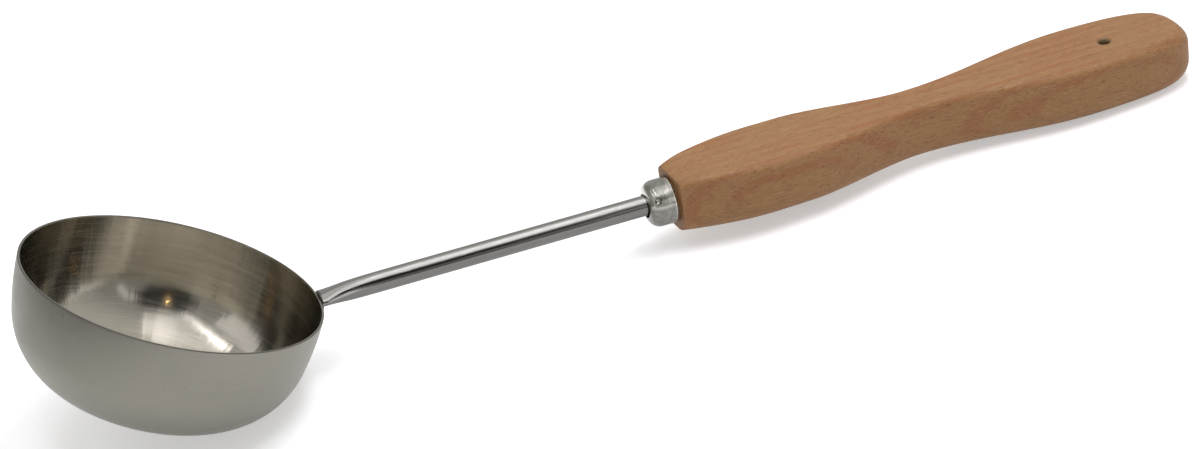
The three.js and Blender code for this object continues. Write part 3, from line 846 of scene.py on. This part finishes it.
class LADLE_OT_weld_bead(bpy.types.Operator):
    """Make the rippled weld in the corner below the tongue"""

    bl_idname = "ladle.weld_bead"
    bl_label = "Weld bead"

    def execute(self, context):
        ladle = context.scene.ladle
        stem = ladle.stem
        weld = ladle.weld
        _, rim_radius, _ = bowl_rim()
        gap = ladle.handle.gap
        underside = stem.tongue_drop + stem.tongue_thickness / 2 + gap
        depth = stem.below_rim + underside / math.cos(stem.rise) - gap * math.tan(stem.rise)
        corner = Vector((rim_radius + gap, -depth))
        along_tongue = Vector((math.cos(stem.rise), math.sin(stem.rise)))
        half = stem.tongue_width / 2 + weld.overhang
        bm = bmesh.new()
        rings = []
        for i in range(WELD_STEPS + 1):
            y = mix(-half, half, i / WELD_STEPS)
            ripple = 1 - RIPPLE_DEPTH * abs(math.sin(math.pi * y / weld.ripple))
            leg = weld.leg * ripple * (1 - WELD_END_LOSS * (y / half) ** 4)
            fall = math.sqrt(rim_radius**2 - y * y) - rim_radius
            low = corner + Vector((0.0, -leg))
            out = corner + along_tongue * leg
            controls = [mix(end, (low + out) / 2, WELD_REACH) for end in (low, out)]
            points = [corner, low, *bezier(low, *controls, out, SMALL_ARC_STEPS)]
            rings.append([bm.verts.new((point.x + fall, y, point.y)) for point in points])
        ring_faces(bm, rings)
        bm.faces.new(rings[0])
        bm.faces.new(reversed(rings[-1]))
        mesh = mesh_of("weld_fillet", bm)
        finishes = [weld_metal(weld.metal)]
        place_piece("weld_fillet", mesh, bowl_frame(), "weld_bead", finishes)
        return {"FINISHED"}


# Ferrule

# Span, depth and mean of the slight unevenness that pressing left in the thin cup
UNEVEN_SPAN = 4.5 * MM
UNEVEN_DEPTH = 0.09 * MM
UNEVEN_MEAN = -0.05 * MM


class LADLE_OT_ferrule(bpy.types.Operator):
    """Make the metal cup that caps the handle's front round the rod"""

    bl_idname = "ladle.ferrule"
    bl_label = "Ferrule"

    def execute(self, context):
        ladle = context.scene.ladle
        cup = ladle.ferrule
        radius = cup.diameter / 2
        hole = cup.hole / 2
        edge = cup.edge
        shoulder = (radius - cup.shoulder, cup.shoulder)
        front = -math.pi / 2
        profile = [
            *arc((hole + edge, edge), edge, math.pi, 1.5 * math.pi, SMALL_ARC_STEPS),
            *arc(shoulder, cup.shoulder, front, 0.0, ARC_STEPS),
            *arc((radius - edge, cup.length - edge), edge, 0.0, math.pi / 2, SMALL_ARC_STEPS),
            Vector((radius - cup.sheet, cup.length)),
            *arc(shoulder, cup.shoulder - cup.sheet, 0.0, front, ARC_STEPS),
            Vector((hole, cup.sheet)),
        ]
        bm = turned(profile, ROUND_SEGMENTS)
        for vertex in bm.verts:
            outward = Vector((vertex.co.x, vertex.co.y, 0.0)).normalized()
            vertex.co += outward * (noise.noise(vertex.co / UNEVEN_SPAN) * UNEVEN_DEPTH + UNEVEN_MEAN)
        lay_along_x(bm)
        mesh = mesh_of("ferrule_cup", bm)
        place = ferrule_frame(ladle)
        place_piece("ferrule_cup", mesh, place, "ferrule", [scuffed_metal(cup)])
        return {"FINISHED"}


# Handle

# Reach of the plan's curve handles, as shares of the stretch that each belongs to
FRONT_REACH = 0.52
FRONT_LOBE_REACH = 0.29
FRONT_WAIST_REACH = 0.28
REAR_WAIST_REACH = 0.386
REAR_LOBE_REACH = 0.8
TIP_REACH = 0.84
# Flat border that keeps the shading of the front face even
FRONT_BORDER = 0.3 * MM
# End of the round-over in the hole's mouth, just short of lying flat in the face
MOUTH_END = 0.57 * math.pi
# Way from the mouth's edge to the end of the tool that cuts it, outside the wood
MOUTH_FLARE = Vector((1.0, 0.7)) * MM


def handle_side(wood):
    """Points of one side of the handle's plan, from the front edge's end to the rear end's middle."""
    front = Vector((0.0, wood.front_width / 2))
    lobe = Vector((wood.front_lobe_at, wood.front_lobe_width / 2))
    waist = Vector((wood.waist_at, wood.waist_width / 2))
    rear = Vector((wood.length - wood.rear_lobe_from_end, wood.rear_lobe_width / 2))
    tip = Vector((wood.length, 0.0))
    ahead = Vector((1.0, 0.0))
    flare = Vector((1.0, wood.front_flare))
    after_front = front + flare * FRONT_REACH * lobe.x
    before_lobe = lobe - ahead * FRONT_LOBE_REACH * lobe.x
    to_waist = ahead * FRONT_WAIST_REACH * (waist.x - lobe.x)
    to_rear = ahead * REAR_WAIST_REACH * (rear.x - waist.x)
    after_rear = rear + ahead * REAR_LOBE_REACH * wood.rear_lobe_from_end
    before_tip = Vector((tip.x, TIP_REACH * rear.y))
    points = bezier(front, after_front, before_lobe, lobe, OUTLINE_STEPS)
    points += bezier(lobe, lobe + to_waist, waist - to_waist, waist, OUTLINE_STEPS)
    points += bezier(waist, waist + to_rear, rear - to_rear, rear, OUTLINE_STEPS)
    points += bezier(rear, after_rear, before_tip, tip, 2 * OUTLINE_STEPS)
    first = front + flare * wood.front_edge
    return [first, *(point for point in points if point.x > 1.5 * wood.front_edge)]


def normals_left(points, closed):
    """Unit vectors that point to the left of the way along a line of points."""
    count = len(points)
    normals = []
    for i in range(count):
        before = points[i - 1] if closed or i else points[i]
        after = points[(i + 1) % count] if closed or i < count - 1 else points[i]
        way = (after - before).normalized()
        normals.append(Vector((-way.y, way.x)))
    return normals


def smooth_share(value, start, end):
    """Share of the way from start to end, eased at both and held beyond them."""
    share = min(max((value - start) / (end - start), 0.0), 1.0)
    return share * share * (3 - 2 * share)


def half_rib(wood, point, outward):
    """Points from the middle of the upper face round one side to the middle of the lower face."""
    rear_at = wood.length - wood.rear_lobe_from_end
    to_end = max((point.x - rear_at) / wood.rear_lobe_from_end, 0.0) ** 2
    upper = mix(wood.upper_edge, wood.upper_end_edge, to_end)
    lower = mix(wood.lower_edge, wood.lower_end_edge, to_end)

    def edge_point(radius, turn, face):
        """Point on the rounded edge of the upper (1) or lower (-1) face, turned from the side."""
        place = point - outward * (radius * (1 - math.cos(turn)))
        half = mix(wood.front_thickness, wood.rear_thickness, place.x / wood.length) / 2
        return Vector((place.x, place.y, face * (half - radius * (1 - math.sin(turn)))))

    turns = [math.pi / 2 * i / EDGE_STEPS for i in range(EDGE_STEPS + 1)]
    edge = [edge_point(upper, turn, 1.0) for turn in reversed(turns)]
    edge += [edge_point(lower, turn, -1.0) for turn in turns]
    shares = [i / ACROSS_STEPS for i in range(ACROSS_STEPS)]
    top = [Vector((edge[0].x, edge[0].y * share, edge[0].z)) for share in shares]
    low = [Vector((edge[-1].x, edge[-1].y * share, edge[-1].z)) for share in reversed(shares)]
    return top + edge + low


def front_shaped(wood, point):
    """Point moved by the fall of the upper face and the skew of the front face near the front."""
    near_front = max(1 - point.x / wood.ease_length, 0.0) ** 2
    half = wood.front_thickness / 2
    fall = wood.ease_drop * near_front * smooth_share(point.z, 0.0, half)
    skew = wood.front_skew * (wood.front_width / 2 - point.y) * near_front
    return Vector((point.x + skew, point.y, point.z - fall))


def handle_body(wood):
    """The wood's body: crisp upper and round lower edges, a rounded rear end, a sanded front edge."""
    side = handle_side(wood)
    outward = normals_left(side, closed=False)
    outward[-1] = Vector((1.0, 0.0))
    ribs = []
    for point, normal in zip(side, outward):
        # Near the front the edges are rounded straight across, so that the front stays flat.
        normal.x *= smooth_share(point.x, wood.front_edge, 2 * wood.lower_edge)
        left = half_rib(wood, point, normal.normalized())
        right = [Vector((corner.x, -corner.y, corner.z)) for corner in reversed(left[1:-1])]
        ribs.append(left + right)
    section = [Vector((corner.y, corner.z)) for corner in ribs[0]]
    inward = [-normal for normal in normals_left(section, closed=True)]
    hoops = []
    for i in range(SMALL_ARC_STEPS, 0, -1):
        turn = math.pi / 2 * i / SMALL_ARC_STEPS
        inset = wood.front_edge * (1 - math.cos(turn))
        x = wood.front_edge * (1 - math.sin(turn))
        points = [point + normal * inset for point, normal in zip(section, inward)]
        hoops.append([Vector((x, point.x, point.y)) for point in points])
    bm = bmesh.new()
    loops = [[bm.verts.new(front_shaped(wood, point)) for point in loop] for loop in hoops + ribs]
    ring_faces(bm, loops)
    front = bm.faces.new(loops[0])
    bmesh.ops.inset_individual(bm, faces=[front], thickness=FRONT_BORDER, use_even_offset=True)
    bmesh.ops.remove_doubles(bm, verts=bm.verts, dist=MERGE_DISTANCE)
    return mesh_of("handle_body", bm)


def plain_rod(name, radius, start, end):
    """Mesh of a rod along +X."""
    corners = ((0.0, start), (radius, start), (radius, end), (0.0, end))
    bm = turned([Vector(corner) for corner in corners], ROUND_SEGMENTS)
    lay_along_x(bm)
    return mesh_of(name, bm)


def handle_tools(ladle):
    """Tenon to join to the handle's body, and the tang's bore and the hanging hole to cut from it."""
    wood = ladle.handle
    cup = ladle.ferrule
    stem = ladle.stem
    from_stem = handle_frame(ladle).inverted() @ stem_frame(ladle)
    face = front_face(ladle)
    tenon_radius = cup.diameter / 2 - cup.sheet - wood.gap
    tenon_front = stem.length + cup.shoulder + wood.gap
    tenon = plain_rod("tenon", tenon_radius, tenon_front, face + stem.tang / 2)
    tenon.transform(from_stem @ Matrix.Translation((0.0, 0.0, -cup.drop)))
    bore_radius = stem.diameter / 2 + wood.gap
    bore = plain_rod("bore", bore_radius, stem.length, face + stem.tang + wood.gap)
    bore.transform(from_stem)
    hole_at = wood.length - wood.hole_from_end
    surface = mix(wood.front_thickness, wood.rear_thickness, hole_at / wood.length) / 2
    mouth = wood.hole_mouth / 2
    round_over = mouth - wood.hole / 2
    rounded = arc((mouth, surface - round_over), round_over, math.pi, MOUTH_END, SMALL_ARC_STEPS)
    flare = rounded[-1] + MOUTH_FLARE
    upper = [*rounded, flare, Vector((0.0, flare.y))]
    lower = [Vector((point.x, -point.y)) for point in reversed(upper)]
    hanging = mesh_of("hanging_hole", turned([*lower, *upper], ROUND_SEGMENTS))
    hanging.transform(Matrix.Translation((hole_at, -wood.hole_offset, 0.0)))
    return tenon, bore, hanging


class LADLE_OT_handle(bpy.types.Operator):
    """Make the waisted beech handle with its tenon, bore and hanging hole"""

    bl_idname = "ladle.handle"
    bl_label = "Handle"

    def execute(self, context):
        ladle = context.scene.ladle
        tenon, bore, hanging = handle_tools(ladle)
        mesh = combined(handle_body(ladle.handle), tenon, "UNION")
        mesh = combined(mesh, bore, "DIFFERENCE")
        mesh = combined(mesh, hanging, "DIFFERENCE")
        mesh.materials.clear()
        finishes = [sanded_beech(ladle.handle, ladle.ferrule)]
        place_piece("handle_grip", mesh, handle_frame(ladle), "handle", finishes)
        return {"FINISHED"}


# Stage

# Direction in which the room is brightest
BRIGHT_SIDE = (0.8, 0.7, 0.35)
ROOM_LIGHT = (1.0, 0.99, 0.97, 1.0)
# Light that lifts the floor to white where the camera or a reflection sees it
FLOOR_LIFT = 0.42
# Middle and half sizes of the card behind the camera
CARD_PLACE = (-0.12, -1.1, 1.0)
CARD_SIZE = (0.78, 0.8)
BLACK = (0.02, 0.02, 0.02, 1.0)
NEAREST_VIEW = 0.01
COOL = (0.95, 0.945, 1.0)
WARM = (1.0, 0.66, 0.3)
# Name, place, aim, turn in degrees, width, depth, radiance and colour of each soft light
LAMPS = (
    ("overhead", (0.1, -0.13, 0.9), (0.1, -0.13, 0.0), 0.0, 0.64, 0.78, 0.12, COOL),
    ("left_strip", (-0.19, -0.15, 0.9), (-0.19, -0.15, 0.0), 9.0, 0.2, 0.75, 1.1, COOL),
    ("right_strip", (0.24, -0.12, 0.9), (0.24, -0.12, 0.0), -14.0, 0.2, 0.64, 3.0, COOL),
    ("left_panel", (-0.76, 0.1, 0.9), (-0.76, 0.1, 0.0), 0.0, 0.58, 0.8, 0.16, COOL),
    ("low_panel", (0.5, -1.1, 0.45), (0.0, 0.0, 0.03), 0.0, 0.2, 0.5, 0.12, COOL),
    ("warm_lamp", (-0.13, -1.05, 0.9), (-0.15, 0.0, 0.03), 0.0, 0.014, 0.014, 48.0, WARM),
)


def pale_floor(tint):
    """Floor that shows white to the camera and in the metal, and still takes the shadow."""
    finish = Finish("pale_floor")
    path = finish.add("ShaderNodeLightPath").outputs
    seen = finish.math("MAXIMUM", path["Is Camera Ray"], path["Is Glossy Ray"])
    seen = finish.math("MAXIMUM", seen, path["Is Transmission Ray"])
    matt = finish.add("ShaderNodeBsdfDiffuse", {"Color": (*tint, 1.0)})
    lift = finish.add("ShaderNodeEmission", {"Strength": finish.math("MULTIPLY", seen, FLOOR_LIFT)})
    return finish.end(finish.add("ShaderNodeAddShader", {0: matt.outputs[0], 1: lift.outputs[0]}))


def black_card():
    """Black with an edge that fades out, for an oval card."""
    finish = Finish("black_card")
    place = finish.add("ShaderNodeNewGeometry").outputs["Position"]
    from_middle = finish.vector_math("SUBTRACT", place, CARD_PLACE)
    width, height = CARD_SIZE
    from_middle = finish.vector_math("MULTIPLY", from_middle, (1 / width, 1.0, 1 / height))
    inputs = {
        0: finish.ranged(finish.measure("LENGTH", from_middle), 0.6, 1.0),
        1: finish.add("ShaderNodeBsdfDiffuse", {"Color": BLACK}).outputs[0],
        2: finish.add("ShaderNodeBsdfTransparent").outputs[0],
    }
    return finish.end(finish.add("ShaderNodeMixShader", inputs))


def stage_object(name, bm, material):
    """Object of the stage with one material."""
    mesh = mesh_of(name, bm)
    mesh.materials.append(material)
    item = object_of(name, mesh)
    return item


def place_card():
    """Oval card behind the camera, which shows only in what the ladle reflects."""
    bm = bmesh.new()
    bmesh.ops.create_circle(bm, cap_ends=True, segments=ROUND_SEGMENTS, radius=1.0)
    upright = Matrix.Rotation(math.pi / 2, 4, "X") @ Matrix.Diagonal((*CARD_SIZE, 1.0, 1.0))
    bm.transform(Matrix.Translation(CARD_PLACE) @ upright)
    card = stage_object("card", bm, black_card())
    card.visible_camera = False
    card.visible_diffuse = False
    card.visible_shadow = False


def place_light(name, place, aim, turn, width, depth, radiance, tint):
    """Rectangular soft light of an even radiance."""
    light = bpy.data.lights.new(name, "AREA")
    light.shape = "RECTANGLE"
    light.size = width
    light.size_y = depth
    light.energy = 4 * math.pi * radiance * width * depth
    light.color = tint
    lamp = object_of(name, light)
    lamp.location = place
    facing = (Vector(aim) - Vector(place)).to_track_quat("-Z", "Y").to_matrix()
    lamp.rotation_euler = (facing @ Matrix.Rotation(math.radians(turn), 3, "Z")).to_euler()


def studio_world():
    """Dim room light, brighter behind and to the right of the object."""
    world = bpy.data.worlds.new("studio")
    room = Nodes(world)
    way = room.add("ShaderNodeTexCoord").outputs["Generated"]
    level = room.ranged(room.measure("DOT_PRODUCT", way, BRIGHT_SIDE), 0.0, 0.8, 0.35, 0.72)
    light = room.add("ShaderNodeBackground", {"Color": ROOM_LIGHT, "Strength": level})
    room.add("ShaderNodeOutputWorld", {"Surface": light.outputs["Background"]})
    return world


def place_camera(stage):
    """Camera at the set angle and distance from its target."""
    data = bpy.data.cameras.new("camera")
    data.sensor_fit = "HORIZONTAL"
    data.sensor_width = stage.sensor
    data.lens = stage.lens
    data.clip_start = NEAREST_VIEW
    camera = object_of("camera", data)
    turn = Matrix.Rotation(stage.azimuth, 4, "Z")
    lean = Matrix.Rotation(math.pi / 2 - stage.elevation, 4, "X")
    back = Matrix.Translation((0.0, 0.0, stage.distance))
    roll = Matrix.Rotation(-stage.roll, 4, "Z")
    camera.matrix_world = Matrix.Translation(stage.target) @ turn @ lean @ back @ roll
    return camera


class LADLE_OT_stage(bpy.types.Operator):
    """Make the pale floor, the black card, the soft lights and the camera"""

    bl_idname = "ladle.stage"
    bl_label = "Stage"

    def execute(self, context):
        scene = context.scene
        stage = scene.ladle.stage
        bm = bmesh.new()
        half = stage.floor_size / 2
        bmesh.ops.create_grid(bm, x_segments=FLOOR_STEPS, y_segments=FLOOR_STEPS, size=half)
        floor = stage_object("floor", bm, pale_floor(stage.floor))
        floor.location.z = CAD_BOX[0].z
        place_card()
        for lamp in LAMPS:
            place_light(*lamp)
        scene.world = studio_world()
        scene.camera = place_camera(stage)
        scene.view_settings.view_transform = "Standard"
        return {"FINISHED"}


# Add-on

# Operators in their order, each with the name of its own settings
OPERATORS = {
    LADLE_OT_bowl: "bowl",
    LADLE_OT_stem: "stem",
    LADLE_OT_weld_bead: "weld",
    LADLE_OT_ferrule: "ferrule",
    LADLE_OT_handle: "handle",
    LADLE_OT_stage: "stage",
}


class LADLE_PT_panel(bpy.types.Panel):
    """Lists the ladle's pieces and its stage, each with its settings"""

    bl_label = "Ladle"
    bl_idname = "LADLE_PT_panel"
    bl_space_type = "VIEW_3D"
    bl_region_type = "UI"
    bl_category = "Ladle"

    def draw(self, context):
        for operator, name in OPERATORS.items():
            box = self.layout.box()
            box.operator(operator.bl_idname)
            settings = getattr(context.scene.ladle, name)
            for key in settings.__annotations__:
                box.prop(settings, key)


CLASSES = (
    BowlSettings,
    StemSettings,
    WeldSettings,
    FerruleSettings,
    HandleSettings,
    StageSettings,
    LadleSettings,
    *OPERATORS,
    LADLE_PT_panel,
)


def register():
    for item in CLASSES:
        bpy.utils.register_class(item)
    bpy.types.Scene.ladle = PointerProperty(type=LadleSettings)


def unregister():
    del bpy.types.Scene.ladle
    for item in reversed(CLASSES):
        bpy.utils.unregister_class(item)


def main():
    """Makes every piece and the stage."""
    register()
    bpy.ops.ladle.bowl()
    bpy.ops.ladle.stem()
    bpy.ops.ladle.weld_bead()
    bpy.ops.ladle.ferrule()
    bpy.ops.ladle.handle()
    bpy.ops.ladle.stage()


if __name__ == "__main__":
    main()
